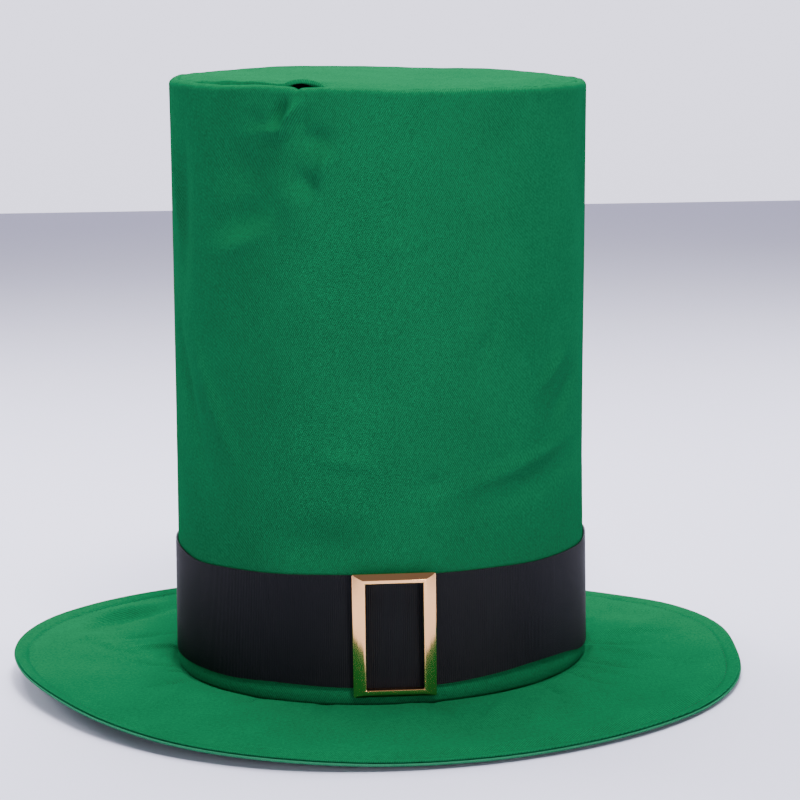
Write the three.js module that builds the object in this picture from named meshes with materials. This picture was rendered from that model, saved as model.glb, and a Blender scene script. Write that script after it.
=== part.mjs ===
// Leprechaun top hat in green twill, standing by itself on its brim.
// Millimetres, +Z up. The hat's front, with the buckle, looks along -Y and its left side is at -X.
// Angles run round the hat in degrees from +X, so the front is at 270 and the back seam at 90.
// The origin is in the middle of the hat's plan, on the surface that the brim rests on.
import * as THREE from "three";

const TURN = 2 * Math.PI;
const FRONT = 270;
const BACK = 90;

// Driving dimensions
const HEAD_GIRTH = 586; // inside the crown, where it meets the brim
const SEAM_GAP = 0.3; // between two pieces where they are sewn together
const CLOTH = { crown: 2.2, brim: 1.2, band: 0.8 }; // wall of twill with its interlining, and the ribbon

const CROWN = {
  height: 277.7, // middle of the rim above the surface
  baseRadius: HEAD_GIRTH / TURN + CLOTH.crown,
  waistRadius: 95.1,
  waistHeight: 140,
  topRadius: 95.7,
  lean: 2.6, // the rim's middle stands this far to the hat's right of the base
  tipFall: 2.0, // the rim falls this much from its middle to the hat's right end
  rimRoll: 2.7, // radius of the side's turned top edge
  rimTurn: 125, // how far that edge turns over, in degrees
};
const SEAM = { height: 6.8, rise: 0.9 }; // top of the brim at the crown, and its rise to the right end
const BACK_SEAM = { halfWidth: 1.4, depth: 0.7 }; // the valley of the crown side's closing seam

// The tip's cloth from its seam to its middle: how far in, and how far over the rim's top
const TIP_RINGS = [
  { inward: 0, rise: -0.5 },
  { inward: 0.05, rise: 0.5 },
  { inward: 0.16, rise: 1.2 },
  { inward: 0.4, rise: 1.5 },
  { inward: 0.7, rise: 1.0 },
  { inward: 1, rise: 0.7 },
];

// The brim's outer edge: its width from the crown, and the height of the middle of its two layers
const BRIM_EDGE = [
  { angle: 0, width: 73.4, height: 4.8 },
  { angle: 15, width: 75.5, height: 5.9 },
  { angle: 30, width: 75.0, height: 5.4 },
  { angle: 45, width: 73.7, height: 3.2 },
  { angle: 60, width: 73.6, height: 1.9 },
  { angle: 75, width: 73.8, height: 1.9 },
  { angle: 90, width: 74.3, height: 2.7 },
  { angle: 105, width: 75.0, height: 4.2 },
  { angle: 120, width: 75.7, height: 6.1 },
  { angle: 135, width: 75.7, height: 8.1 },
  { angle: 150, width: 75.9, height: 10.3 },
  { angle: 165, width: 76.9, height: 12.4 },
  { angle: 180, width: 78.1, height: 12.9 },
  { angle: 195, width: 75.8, height: 12.4 },
  { angle: 210, width: 73.3, height: 10.8 },
  { angle: 225, width: 73.5, height: 7.9 },
  { angle: 240, width: 74.6, height: 5.1 },
  { angle: 255, width: 75.7, height: 3.7 },
  { angle: 270, width: 76.1, height: 2.9 },
  { angle: 285, width: 75.6, height: 3.0 },
  { angle: 300, width: 74.3, height: 3.0 },
  { angle: 315, width: 74.3, height: 3.1 },
  { angle: 330, width: 74.9, height: 2.8 },
  { angle: 345, width: 74.6, height: 3.5 },
];
const BRIM_FLAT = 1.2; // the brim lies level for this far outside the crown
const BRIM_SAG = { depth: 3.2, skew: 1.9 }; // between the crown and the edge, deepest nearer the edge
const BRIM_RINGS = [0, 0.12, 0.28, 0.46, 0.6, 0.7, 0.8, 0.9, 1];

// The ribbon's lower and upper edge above the surface
const BAND_EDGE = [
  { angle: 15, foot: 14.5, head: 65.0 },
  { angle: 60, foot: 15.2, head: 65.8 },
  { angle: 90, foot: 15.0, head: 65.7 },
  { angle: 120, foot: 14.6, head: 65.3 },
  { angle: 165, foot: 13.4, head: 65.4 },
  { angle: 195, foot: 13.5, head: 65.0 },
  { angle: 210, foot: 14.0, head: 63.3 },
  { angle: 225, foot: 14.2, head: 64.2 },
  { angle: 240, foot: 15.5, head: 64.8 },
  { angle: 260, foot: 15.3, head: 66.1 },
  { angle: 285, foot: 15.6, head: 65.9 },
  { angle: 300, foot: 17.0, head: 65.6 },
  { angle: 315, foot: 18.5, head: 64.7 },
  { angle: 330, foot: 17.6, head: 64.6 },
  { angle: 345, foot: 14.2, head: 64.4 },
];
const BAND_LAP = { halfAngle: 4, climb: 5 }; // the ribbon's ends lie on each other at the back

const BUCKLE = {
  angle: 273.1,
  middle: 39.8,
  width: 36.8,
  height: 56.4,
  sideBar: 5.6,
  crossBar: 4.0,
};
// The buckle's face across a bar, from its outer edge to its opening: how far it stands over the flat back
const BUCKLE_FACE = [
  { across: 0, forward: 1.0 },
  { across: 0.06, forward: 1.3 },
  { across: 0.3, forward: 2.45 },
  { across: 0.57, forward: 3.3 },
  { across: 0.81, forward: 3.85 },
  { across: 0.95, forward: 3.9 },
  { across: 1, forward: 3.65 },
];

// The crown side's largest folds and dents: troughs, or ridges where the depth is below zero. Each spreads
// sideways by across and up and down by along, and leans by slant.
const CROWN_FOLDS = [
  { angle: 204, height: 140, across: 9, along: 36, slant: -25, depth: 1.3 },
  { angle: 203, height: 222, across: 9, along: 36, slant: 4, depth: 0.9 },
  { angle: 245, height: 267, across: 7, along: 11, slant: 40, depth: 2.0 },
  { angle: 232, height: 241, across: 14, along: 14, slant: 0, depth: 1.3 },
  { angle: 230, height: 222, across: 15, along: 10, slant: -20, depth: 1.1 },
  { angle: 250, height: 236, across: 9, along: 10, slant: 0, depth: 0.9 },
  { angle: 276, height: 170, across: 15, along: 90, slant: 0, depth: -0.7 },
  { angle: 331, height: 138, across: 9, along: 14, slant: 50, depth: 1.0 },
  { angle: 316, height: 101, across: 30, along: 10, slant: -12, depth: 0.7 },
  { angle: 254, height: 80, across: 22, along: 10, slant: 0, depth: 0.8 },
  { angle: 352, height: 130, across: 12, along: 60, slant: -4, depth: 0.8 },
  { angle: 345, height: 225, across: 10, along: 34, slant: 4, depth: 0.7 },
  { angle: 24, height: 232, across: 10, along: 30, slant: -12, depth: 1.5 },
  { angle: 48, height: 128, across: 14, along: 50, slant: 9, depth: 1.2 },
  { angle: 74, height: 262, across: 8, along: 15, slant: -26, depth: 1.7 },
  { angle: 112, height: 188, across: 12, along: 58, slant: 5, depth: 1.3 },
  { angle: 133, height: 256, across: 9, along: 16, slant: 20, depth: 1.4 },
  { angle: 146, height: 110, across: 14, along: 38, slant: -14, depth: 1.1 },
  { angle: 172, height: 214, across: 11, along: 44, slant: 8, depth: 1.3 },
];

// The brim's largest wrinkles: troughs that run out from the crown, placed as a share of the width
const BRIM_FOLDS = [
  { angle: 3, out: 0.28, across: 9, along: 0.26, depth: 0.9 },
  { angle: 346, out: 0.34, across: 10, along: 0.28, depth: 1.0 },
  { angle: 332, out: 0.2, across: 9, along: 0.2, depth: 0.8 },
  { angle: 288, out: 0.45, across: 12, along: 0.24, depth: 0.5 },
  { angle: 238, out: 0.4, across: 12, along: 0.22, depth: 0.6 },
  { angle: 189, out: 0.32, across: 10, along: 0.3, depth: 1.1 },
  { angle: 163, out: 0.5, across: 11, along: 0.2, depth: 1.0 },
  { angle: 121, out: 0.35, across: 12, along: 0.26, depth: 0.8 },
  { angle: 66, out: 0.3, across: 11, along: 0.24, depth: 0.8 },
  { angle: 31, out: 0.42, across: 12, along: 0.22, depth: 0.7 },
];

const STEPS = { crown: 64, brim: 72, band: 72, rim: 5 }; // facets round each piece, and over the rim
const CROWN_ROWS = 15; // heights up the crown side, below its rim

const COLOURS = {
  twill: { color: 0x12693f, roughness: 0.62, metalness: 0 },
  tip: { color: 0x17764a, roughness: 0.62, metalness: 0 },
  ribbon: { color: 0x121317, roughness: 0.5, metalness: 0 },
  brass: { color: 0xe0a583, roughness: 0.18, metalness: 1 },
};

// Small helpers

const radians = (degrees) => (degrees * TURN) / 360;
const mix = (a, b, t) => a + (b - a) * t;

// A point at an angle and distance from the crown's axis, which leans as it climbs.
function onHat(angle, radius, height) {
  const axis = (CROWN.lean * height) / CROWN.height;
  return new THREE.Vector3(
    axis + radius * Math.cos(radians(angle)),
    radius * Math.sin(radians(angle)),
    height,
  );
}

// The shortest way round from one angle to another, in degrees.
function turnTo(from, to) {
  return ((((to - from + 180) % 360) + 360) % 360) - 180;
}

// A smooth value at an angle, from a table whose rows go once round the hat.
function around(table, column, angle) {
  const at = ((angle % 360) + 360) % 360;
  const count = table.length;
  const row = (i) => {
    const laps = Math.floor(i / count);
    const found = table[i - laps * count];
    return { angle: found.angle + 360 * laps, value: found[column] };
  };
  let i = 0;
  while (i < count && row(i).angle <= at) i += 1;
  const [before, start, end, after] = [row(i - 2), row(i - 1), row(i), row(i + 1)];
  const span = end.angle - start.angle;
  const t = (at - start.angle) / span;
  const slopeIn = ((end.value - before.value) / (end.angle - before.angle)) * span;
  const slopeOut = ((after.value - start.value) / (after.angle - start.angle)) * span;
  const rise = start.value - end.value;
  const cubic = 2 * rise + slopeIn + slopeOut;
  const square = -3 * rise - 2 * slopeIn - slopeOut;
  return ((cubic * t + square) * t + slopeIn) * t + start.value;
}

const bell = (distance, width) => Math.exp(-((distance / width) ** 2));

// Two skins of the same grid become one closed wall: skin[i] runs along the piece and i goes round.
function wall(outer, inner, { closed, poled = false }) {
  const rows = outer.length;
  const columns = outer[0].length;
  const points = [];
  const faces = [];
  const index = (skin, i, j) => {
    const pole = poled && j === columns - 1;
    return skin * rows * columns + (pole ? 0 : i % rows) * columns + j;
  };
  for (const skin of [outer, inner]) for (const row of skin) points.push(...row);
  const quad = (a, b, c, d) => {
    if (b !== c && a !== b && a !== c) faces.push(a, b, c);
    if (c !== d && d !== a && a !== c) faces.push(a, c, d);
  };
  const spans = closed ? rows : rows - 1;
  for (let i = 0; i < spans; i += 1) {
    for (let j = 0; j < columns - 1; j += 1) {
      quad(index(0, i, j), index(0, i + 1, j), index(0, i + 1, j + 1), index(0, i, j + 1));
      quad(index(1, i, j), index(1, i, j + 1), index(1, i + 1, j + 1), index(1, i + 1, j));
    }
    quad(index(0, i + 1, 0), index(0, i, 0), index(1, i, 0), index(1, i + 1, 0));
    if (poled) continue;
    const last = columns - 1;
    quad(index(0, i, last), index(0, i + 1, last), index(1, i + 1, last), index(1, i, last));
  }
  if (!closed) {
    const end = rows - 1;
    for (let j = 0; j < columns - 1; j += 1) {
      quad(index(0, 0, j), index(0, 0, j + 1), index(1, 0, j + 1), index(1, 0, j));
      quad(index(0, end, j + 1), index(0, end, j), index(1, end, j), index(1, end, j + 1));
    }
  }
  const used = [...new Set(faces)];
  const place = new Map(used.map((old, at) => [old, at]));
  const geometry = new THREE.BufferGeometry();
  geometry.setAttribute(
    "position",
    new THREE.Float32BufferAttribute(used.flatMap((at) => points[at].toArray()), 3),
  );
  geometry.setIndex(faces.map((at) => place.get(at)));
  geometry.computeVertexNormals();
  return geometry;
}

const angles = (count) => Array.from({ length: count }, (_, i) => (360 * i) / count);

function piece(name, geometry, finish) {
  const mesh = new THREE.Mesh(geometry, new THREE.MeshStandardMaterial(finish));
  mesh.name = name;
  return mesh;
}

// The brim

const seamHeight = (angle) => SEAM.height + SEAM.rise * Math.cos(radians(angle));

// How deep the brim's wrinkles are at an angle and a share of its width.
function brimWrinkle(angle, share) {
  let depth = 0;
  for (const fold of BRIM_FOLDS) {
    const radius = CROWN.baseRadius + share * BRIM_EDGE[0].width;
    const sideways = radians(turnTo(fold.angle, angle)) * radius;
    depth += fold.depth * bell(sideways, fold.across) * bell(share - fold.out, fold.along);
  }
  return depth;
}

// The middle of the brim's two layers. It lies flat where it meets the surface.
function brimMiddle(angle, share) {
  const layers = CLOTH.brim + SEAM_GAP / 2;
  const atCrown = seamHeight(angle) - layers;
  const straight = mix(atCrown, around(BRIM_EDGE, "height", angle), share);
  const sag = BRIM_SAG.depth * Math.sin(Math.PI * share ** BRIM_SAG.skew);
  const fade = Math.min(1, share * 6) * Math.min(1, (1 - share) * 6);
  return Math.max(layers, straight - sag - fade * brimWrinkle(angle, share));
}

// One layer of the brim, from the head opening to the edge, between two heights over its middle.
function brimLayer(name, low, high) {
  const inner = HEAD_GIRTH / TURN;
  const levelEnd = CROWN.baseRadius + BRIM_FLAT;
  const skin = (offset) =>
    angles(STEPS.brim).map((angle) => {
      const edge = CROWN.baseRadius + around(BRIM_EDGE, "width", angle);
      const rings = BRIM_RINGS.map((share) => ({ share, radius: mix(levelEnd, edge, share) }));
      return [{ share: 0, radius: inner }, ...rings]
        .reverse()
        .map(({ share, radius }) => onHat(angle, radius, brimMiddle(angle, share) + offset));
    });
  return piece(name, wall(skin(high), skin(low), { closed: true }), COLOURS.twill);
}

// The crown

const rimHeight = (angle) => CROWN.height - CROWN.tipFall * Math.cos(radians(angle));

// The crown side's outer radius, with its folds and the valley of its back seam.
function crownRadius(angle, height) {
  const below = height < CROWN.waistHeight;
  const end = below ? CROWN.baseRadius : CROWN.topRadius;
  const reach = below ? CROWN.waistHeight : CROWN.height - CROWN.waistHeight;
  const away = (height - CROWN.waistHeight) / reach;
  let radius = mix(CROWN.waistRadius, end, away * away);
  for (const fold of CROWN_FOLDS) {
    const sideways = radians(turnTo(fold.angle, angle)) * CROWN.baseRadius;
    const up = height - fold.height;
    const lean = radians(fold.slant);
    const across = sideways * Math.cos(lean) - up * Math.sin(lean);
    const along = up * Math.cos(lean) + sideways * Math.sin(lean);
    radius -= fold.depth * bell(across, fold.across) * bell(along, fold.along);
  }
  const fromSeam = radians(turnTo(BACK, angle)) * CROWN.baseRadius;
  return radius - BACK_SEAM.depth * bell(fromSeam, BACK_SEAM.halfWidth);
}

// The angles of the crown's sections: even steps, and one at each side of the back seam's valley.
function crownAngles() {
  const beside = (1.6 * BACK_SEAM.halfWidth * 360) / (TURN * CROWN.baseRadius);
  const even = angles(STEPS.crown).filter((angle) => angle !== BACK);
  return [...even, BACK - beside, BACK, BACK + beside].sort((a, b) => a - b);
}

// The tube round the head. Its top edge turns over the rim, down into the tip's seam.
function crownSide() {
  const skin = (inset) =>
    crownAngles().map((angle) => {
      const foot = seamHeight(angle) + SEAM_GAP;
      const shoulder = rimHeight(angle) - CROWN.rimRoll;
      const side = Array.from({ length: CROWN_ROWS }, (_, row) => {
        const height = mix(foot, shoulder, row / (CROWN_ROWS - 1));
        return onHat(angle, crownRadius(angle, height) - inset, height);
      });
      const middle = crownRadius(angle, shoulder) - CROWN.rimRoll;
      const roll = CROWN.rimRoll - inset;
      const rim = Array.from({ length: STEPS.rim }, (_, step) => {
        const turned = radians((CROWN.rimTurn * (step + 1)) / STEPS.rim);
        const radius = middle + roll * Math.cos(turned);
        return onHat(angle, radius, shoulder + roll * Math.sin(turned));
      });
      return [...side, ...rim];
    });
  const geometry = wall(skin(0), skin(CLOTH.crown), { closed: true });
  return piece("crown_side", geometry, COLOURS.twill);
}

// The round top, sewn inside the rim and a little puffed.
function crownTip() {
  const turned = radians(CROWN.rimTurn);
  const seamLine = (angle, roll) => {
    const shoulder = rimHeight(angle) - CROWN.rimRoll;
    const middle = crownRadius(angle, shoulder) - CROWN.rimRoll;
    const radius = middle + roll * Math.cos(turned) - SEAM_GAP * Math.sin(turned);
    return { radius, height: shoulder + roll * Math.sin(turned) - SEAM_GAP * Math.abs(Math.cos(turned)) };
  };
  const skin = (inset) =>
    crownAngles().map((angle) => {
      const edge = seamLine(angle, CROWN.rimRoll - inset);
      return TIP_RINGS.map(({ inward, rise }, ring) => {
        const top = CROWN.height - CROWN.tipFall * Math.cos(radians(angle)) * (1 - inward);
        const height = ring === 0 ? edge.height : top + rise - inset;
        return onHat(angle, edge.radius * (1 - inward), height);
      });
    });
  const geometry = wall(skin(0), skin(CLOTH.crown), { closed: true, poled: true });
  return piece("crown_tip", geometry, COLOURS.tip);
}

// The ribbon and its buckle

// How far the ribbon's inner face lies outside the crown: one end climbs over the other.
function bandLift(run) {
  const lapStart = 360 - BAND_LAP.climb;
  const climbed = Math.min(1, Math.max(0, (run - lapStart) / BAND_LAP.climb));
  return SEAM_GAP + climbed * (CLOTH.band + SEAM_GAP);
}

function bandRadius(angle, run, height) {
  return crownRadius(angle, height) + bandLift(run);
}

// The band runs once round the crown and on over its own start at the back.
function hatBand() {
  const start = BACK - BAND_LAP.halfAngle;
  const length = 360 + 2 * BAND_LAP.halfAngle;
  const rows = 3;
  const skin = (offset) =>
    Array.from({ length: STEPS.band + 1 }, (_, step) => {
      const run = (length * step) / STEPS.band;
      const angle = start + run;
      const foot = around(BAND_EDGE, "foot", angle);
      const head = around(BAND_EDGE, "head", angle);
      return Array.from({ length: rows }, (_, row) => {
        const height = mix(foot, head, row / (rows - 1));
        return onHat(angle, bandRadius(angle, run, height) + offset, height);
      });
    });
  return piece("hat_band", wall(skin(CLOTH.band), skin(0), { closed: false }), COLOURS.ribbon);
}

// A flat frame with mitred corners. It slopes up from its outer edge to a narrow inner lip.
function hatBuckle() {
  const corners = [
    { right: 1, up: -1 },
    { right: 1, up: 1 },
    { right: -1, up: 1 },
    { right: -1, up: -1 },
  ];
  const skin = (raised) =>
    corners.map(({ right, up }) =>
      BUCKLE_FACE.map(({ across, forward }) => {
        const x = right * (BUCKLE.width / 2 - across * BUCKLE.sideBar);
        const z = up * (BUCKLE.height / 2 - across * BUCKLE.crossBar);
        return new THREE.Vector3(x, raised ? -forward : 0, z);
      }),
    );
  const mesh = piece("buckle", wall(skin(true), skin(false), { closed: true }), COLOURS.brass);
  const ribbon = bandRadius(BUCKLE.angle, 180, BUCKLE.middle) + CLOTH.band;
  mesh.position.copy(onHat(BUCKLE.angle, ribbon + SEAM_GAP, BUCKLE.middle));
  mesh.rotation.z = radians(BUCKLE.angle - FRONT);
  return mesh;
}

// The whole hat, moved so that the middle of its plan is at the origin

const layerGap = SEAM_GAP / 2;
const brim = new THREE.Group();
brim.add(brimLayer("brim_upper", layerGap, layerGap + CLOTH.brim));
brim.add(brimLayer("brim_under", -layerGap - CLOTH.brim, -layerGap));

const crown = new THREE.Group();
crown.add(crownSide(), crownTip());

const trim = new THREE.Group();
trim.add(hatBand(), hatBuckle());

const hat = new THREE.Group();
hat.name = "leprechaun_top_hat";
hat.add(brim, crown, trim);
const plan = new THREE.Box3().setFromObject(hat).getCenter(new THREE.Vector3());
hat.position.set(-plan.x, -plan.y, 0);

export default hat;
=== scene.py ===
"""Leprechaun top hat in green twill, standing by itself on its brim.

The row frame is in metres with +Z up. The hat's front, with the buckle, looks along -Y, and its lifted
side is at -X. Sizes in this file are in millimetres unless a name says otherwise, and a mesh is turned
into metres when it is made. Angles run round the hat in degrees from +X, so the front is at 270.
"""

import logging
import math
from dataclasses import dataclass
from enum import Enum
from typing import NamedTuple, Sequence

import bpy
import numpy as np
from mathutils import Matrix, Vector


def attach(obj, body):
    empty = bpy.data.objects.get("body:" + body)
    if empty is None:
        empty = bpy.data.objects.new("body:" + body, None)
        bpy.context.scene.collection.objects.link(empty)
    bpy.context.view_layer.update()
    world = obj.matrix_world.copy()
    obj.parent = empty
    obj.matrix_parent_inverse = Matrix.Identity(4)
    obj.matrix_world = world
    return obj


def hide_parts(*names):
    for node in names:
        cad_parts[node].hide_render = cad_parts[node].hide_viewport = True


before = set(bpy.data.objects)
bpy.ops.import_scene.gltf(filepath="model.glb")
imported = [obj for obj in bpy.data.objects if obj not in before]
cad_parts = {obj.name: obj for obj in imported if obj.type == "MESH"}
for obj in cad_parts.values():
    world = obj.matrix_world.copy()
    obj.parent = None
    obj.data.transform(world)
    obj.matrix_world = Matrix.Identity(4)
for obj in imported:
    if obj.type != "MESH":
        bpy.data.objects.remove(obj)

log = logging.getLogger("top_hat")

MM = 0.001
WHOLE_TURN = 360.0
FRONT = 270.0
BACK = 90.0
WAVE_PERIOD = math.pi / 10  # a Wave Texture of scale 1 repeats after this length


class Slot(Enum):
    """The record's material slots."""

    TWILL = "twill"
    RIBBON = "ribbon"
    BUCKLE = "buckle_metal"


class Held(Enum):
    """How a cut piece of cloth is held on the hat."""

    LAID = "laid"
    STRETCHED = "stretched"


class Profile(Enum):
    """How a fold's section looks: a soft wave, or a crease with a pointed bottom."""

    SOFT = "soft"
    CREASE = "crease"


class Fold(NamedTuple):
    """A trough in the cloth, or a ridge where its depth is below zero."""

    angle: float
    place: float
    across: float
    along: float
    slant: float
    depth: float
    profile: Profile = Profile.SOFT


class EdgeRow(NamedTuple):
    """One row of the brim's outer edge: its width from the crown and its middle's height."""

    angle: float
    width: float
    height: float


class BandRow(NamedTuple):
    """One row of the ribbon's two edges: their heights above the surface."""

    angle: float
    foot: float
    head: float


class Station(NamedTuple):
    """A step across a piece's section: how far in, and how far over or under its main form."""

    inward: float
    rise: float


BRIM_EDGE = (
    EdgeRow(0, 73.4, 4.8),
    EdgeRow(15, 75.5, 5.9),
    EdgeRow(30, 75.0, 5.4),
    EdgeRow(45, 73.7, 3.2),
    EdgeRow(60, 73.6, 1.9),
    EdgeRow(75, 73.8, 1.9),
    EdgeRow(90, 74.3, 2.7),
    EdgeRow(105, 75.0, 4.2),
    EdgeRow(120, 75.7, 6.1),
    EdgeRow(135, 75.7, 8.1),
    EdgeRow(150, 75.9, 10.3),
    EdgeRow(165, 76.9, 12.4),
    EdgeRow(180, 78.1, 12.9),
    EdgeRow(195, 75.8, 12.4),
    EdgeRow(210, 73.3, 10.8),
    EdgeRow(225, 74.6, 8.6),
    EdgeRow(240, 77.2, 6.5),
    EdgeRow(255, 78.9, 5.3),
    EdgeRow(270, 77.6, 3.7),
    EdgeRow(285, 75.9, 3.1),
    EdgeRow(300, 74.3, 3.0),
    EdgeRow(315, 74.3, 3.1),
    EdgeRow(330, 74.9, 2.8),
    EdgeRow(345, 74.6, 3.5),
)

BAND_EDGE = (
    BandRow(15, 14.5, 65.0),
    BandRow(60, 15.2, 65.8),
    BandRow(90, 15.0, 65.7),
    BandRow(120, 14.6, 65.3),
    BandRow(165, 13.4, 65.4),
    BandRow(195, 13.5, 65.0),
    BandRow(210, 14.0, 63.3),
    BandRow(225, 14.2, 64.2),
    BandRow(240, 15.5, 64.8),
    BandRow(260, 15.3, 66.1),
    BandRow(285, 15.6, 65.9),
    BandRow(300, 17.0, 65.6),
    BandRow(315, 18.5, 64.7),
    BandRow(330, 17.6, 64.6),
    BandRow(345, 14.2, 64.4),
)

# The crown side's folds, with place as a height. Across is the reach sideways and along the reach
# upwards, both turned by the slant.
CROWN_FOLDS = (
    # Under the open seam at the rim
    Fold(243.4, 268.0, 3.2, 6.5, 30, 3.2),
    Fold(246.6, 266.4, 2.3, 8.0, 36, -4.6, Profile.CREASE),
    Fold(250.0, 264.0, 2.4, 6.0, 28, 1.3),
    Fold(241.8, 260.2, 6.0, 2.0, -4, -2.9, Profile.CREASE),
    Fold(236.0, 264.0, 4.0, 5.0, 60, 1.3),
    Fold(253.5, 257.0, 8.0, 5.0, 10, 2.6),
    Fold(250.5, 237.5, 6.0, 4.6, 30, 2.9),
    Fold(255.4, 245.0, 2.6, 6.0, 25, -2.1),
    Fold(232.0, 241.0, 14.0, 13.0, 0, 3.8),
    Fold(230.0, 222.0, 15.0, 7.0, -20, 3.8),
    Fold(231.5, 211.0, 14.0, 4.0, -20, -1.6),
    Fold(246.0, 230.0, 7.0, 9.0, -6, -1.7),
    # The left side
    Fold(204.0, 140.0, 6.0, 34.0, -25, 2.5),
    Fold(218.5, 136.0, 4.5, 28.0, -29, -1.8),
    Fold(203.0, 222.0, 7.0, 36.0, 4, 2.2),
    Fold(197.0, 236.0, 3.0, 26.0, -6, -1.7),
    # The front and the right side
    Fold(276.0, 170.0, 13.0, 90.0, 0, -1.4),
    Fold(270.5, 209.5, 12.0, 2.4, 4, -0.8),
    Fold(261.0, 116.0, 13.0, 3.4, 8, -1.3),
    Fold(254.0, 79.0, 22.0, 9.0, 0, 2.1),
    Fold(284.0, 105.0, 6.0, 5.0, 0, 1.4),
    Fold(268.0, 148.0, 14.0, 16.0, 0, 1.3),
    Fold(311.0, 109.5, 32.0, 3.2, -12, -1.5),
    Fold(316.0, 101.0, 30.0, 7.0, -12, 1.5),
    Fold(324.0, 149.0, 3.0, 15.0, 58, -1.5),
    Fold(331.0, 138.0, 5.0, 13.0, 50, 2.2),
    Fold(300.0, 166.0, 4.0, 16.0, 30, 1.0),
    Fold(352.0, 130.0, 12.0, 60.0, -4, 1.3),
    Fold(345.0, 225.0, 10.0, 34.0, 4, 1.3),
    # The back
    Fold(24.0, 232.0, 10.0, 30.0, -12, 2.9),
    Fold(48.0, 128.0, 14.0, 50.0, 9, 1.9),
    Fold(74.0, 262.0, 8.0, 15.0, -26, 2.8),
    Fold(112.0, 188.0, 12.0, 58.0, 5, 2.1),
    Fold(133.0, 256.0, 9.0, 16.0, 20, 2.6),
    Fold(146.0, 110.0, 14.0, 38.0, -14, 1.8),
    Fold(172.0, 214.0, 11.0, 44.0, 8, 2.5),
    Fold(101.0, 104.0, 4.0, 26.0, 24, -1.0),
    Fold(60.0, 206.0, 4.0, 22.0, -28, -1.2),
    Fold(15.0, 96.0, 16.0, 7.0, 18, 1.3),
    Fold(158.0, 164.0, 4.0, 20.0, -24, -1.0),
    Fold(122.0, 82.0, 20.0, 7.0, -16, 1.1),
)

# The brim's wide wrinkles, with place as a share of the brim's width.
BRIM_FOLDS = (
    Fold(3, 0.28, 9, 0.26, 0, 0.9),
    Fold(346, 0.34, 10, 0.28, 0, 1.0),
    Fold(332, 0.2, 9, 0.2, 0, 0.8),
    Fold(288, 0.45, 12, 0.24, 0, 0.5),
    Fold(238, 0.4, 12, 0.22, 0, 0.6),
    Fold(189, 0.32, 10, 0.3, 0, 1.1),
    Fold(163, 0.5, 11, 0.2, 0, 1.0),
    Fold(121, 0.35, 12, 0.26, 0, 0.8),
    Fold(66, 0.3, 11, 0.24, 0, 0.8),
    Fold(31, 0.42, 12, 0.22, 0, 0.7),
)

# The upper brim's own creases. Place is the distance from the crown, and slant turns them off the radius.
BRIM_CREASES = (
    # The right side, where a fan of pulls leaves the crown
    Fold(2.0, 11, 2.6, 15, 5, 2.7, Profile.CREASE),
    Fold(-6.5, 18, 3.2, 20, -2, -1.8),
    Fold(-17.5, 12, 2.8, 16, 3, 2.8, Profile.CREASE),
    Fold(-24.0, 15, 2.6, 16, 2, -1.5),
    Fold(-31.0, 13, 3.0, 13, -8, 2.7, Profile.CREASE),
    Fold(12.0, 26, 3.4, 24, 12, -1.7),
    Fold(24.0, 14, 3.0, 14, 30, 1.5),
    Fold(37.0, 50, 3.4, 24, 62, -1.5),
    Fold(20.0, 46, 5.0, 20, 50, -1.3),
    Fold(-48.0, 22, 6.0, 18, -30, 1.0),
    # The left side
    Fold(175.5, 11, 2.2, 14, 20, -2.1),
    Fold(-168.5, 9, 2.2, 11, -30, 2.9, Profile.CREASE),
    Fold(-161.0, 4, 1.8, 5, 10, 2.2, Profile.CREASE),
    Fold(178.0, 30, 3.0, 18, -38, 2.2, Profile.CREASE),
    Fold(152.0, 56, 5.0, 32, 88, -3.2),
    Fold(150.0, 46, 5.0, 26, 86, 2.2),
    Fold(171.0, 50, 4.0, 16, 70, -1.2),
    Fold(166.0, 26, 3.4, 15, 35, 1.8),
    Fold(-150.0, 12, 2.8, 12, 8, 1.5, Profile.CREASE),
    Fold(-140.0, 30, 6.0, 20, 25, -1.1),
    # The front
    Fold(-124.0, 8, 2.6, 9, -12, 1.3, Profile.CREASE),
    Fold(-104.0, 12, 3.2, 11, 12, 1.1),
    Fold(-82.0, 13, 2.8, 9, 16, -0.7),
    Fold(-76.0, 12, 2.8, 11, 10, 1.3),
    Fold(-66.0, 24, 3.0, 14, -50, -1.0),
    Fold(-58.0, 34, 6.0, 16, -40, -1.0),
    Fold(-45.0, 10, 2.6, 11, -10, 1.5, Profile.CREASE),
    # The back
    Fold(58.0, 11, 2.8, 14, 12, 2.1, Profile.CREASE),
    Fold(80.0, 14, 3.0, 14, -9, 1.8, Profile.CREASE),
    Fold(97.0, 28, 4.0, 18, 36, -1.4),
    Fold(108.0, 10, 2.6, 12, -14, 2.1, Profile.CREASE),
    Fold(127.0, 15, 3.0, 15, 8, 1.8, Profile.CREASE),
    Fold(70.0, 46, 5.0, 18, 58, 1.7),
)


def linear(code: str) -> tuple[float, float, float, float]:
    """Turns a screen colour into the linear one that a shader takes.

    Args:
        code: Six hexadecimal digits, red first.

    Returns:
        Red, green, blue and an alpha of 1.
    """
    parts = [int(code[at : at + 2], 16) / 255 for at in (0, 2, 4)]
    red, green, blue = (p / 12.92 if p <= 0.04045 else ((p + 0.055) / 1.055) ** 2.4 for p in parts)
    return (red, green, blue, 1.0)


def turn_to(start: float, end: np.ndarray) -> np.ndarray:
    """Gives the shortest way round from one angle to others, in degrees."""
    return np.mod(end - start + WHOLE_TURN / 2, WHOLE_TURN) - WHOLE_TURN / 2


def bell(distance: np.ndarray, width: float) -> np.ndarray:
    """Gives a soft hump that is 1 at no distance and fades over the width."""
    return np.exp(-((distance / width) ** 2))


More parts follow.
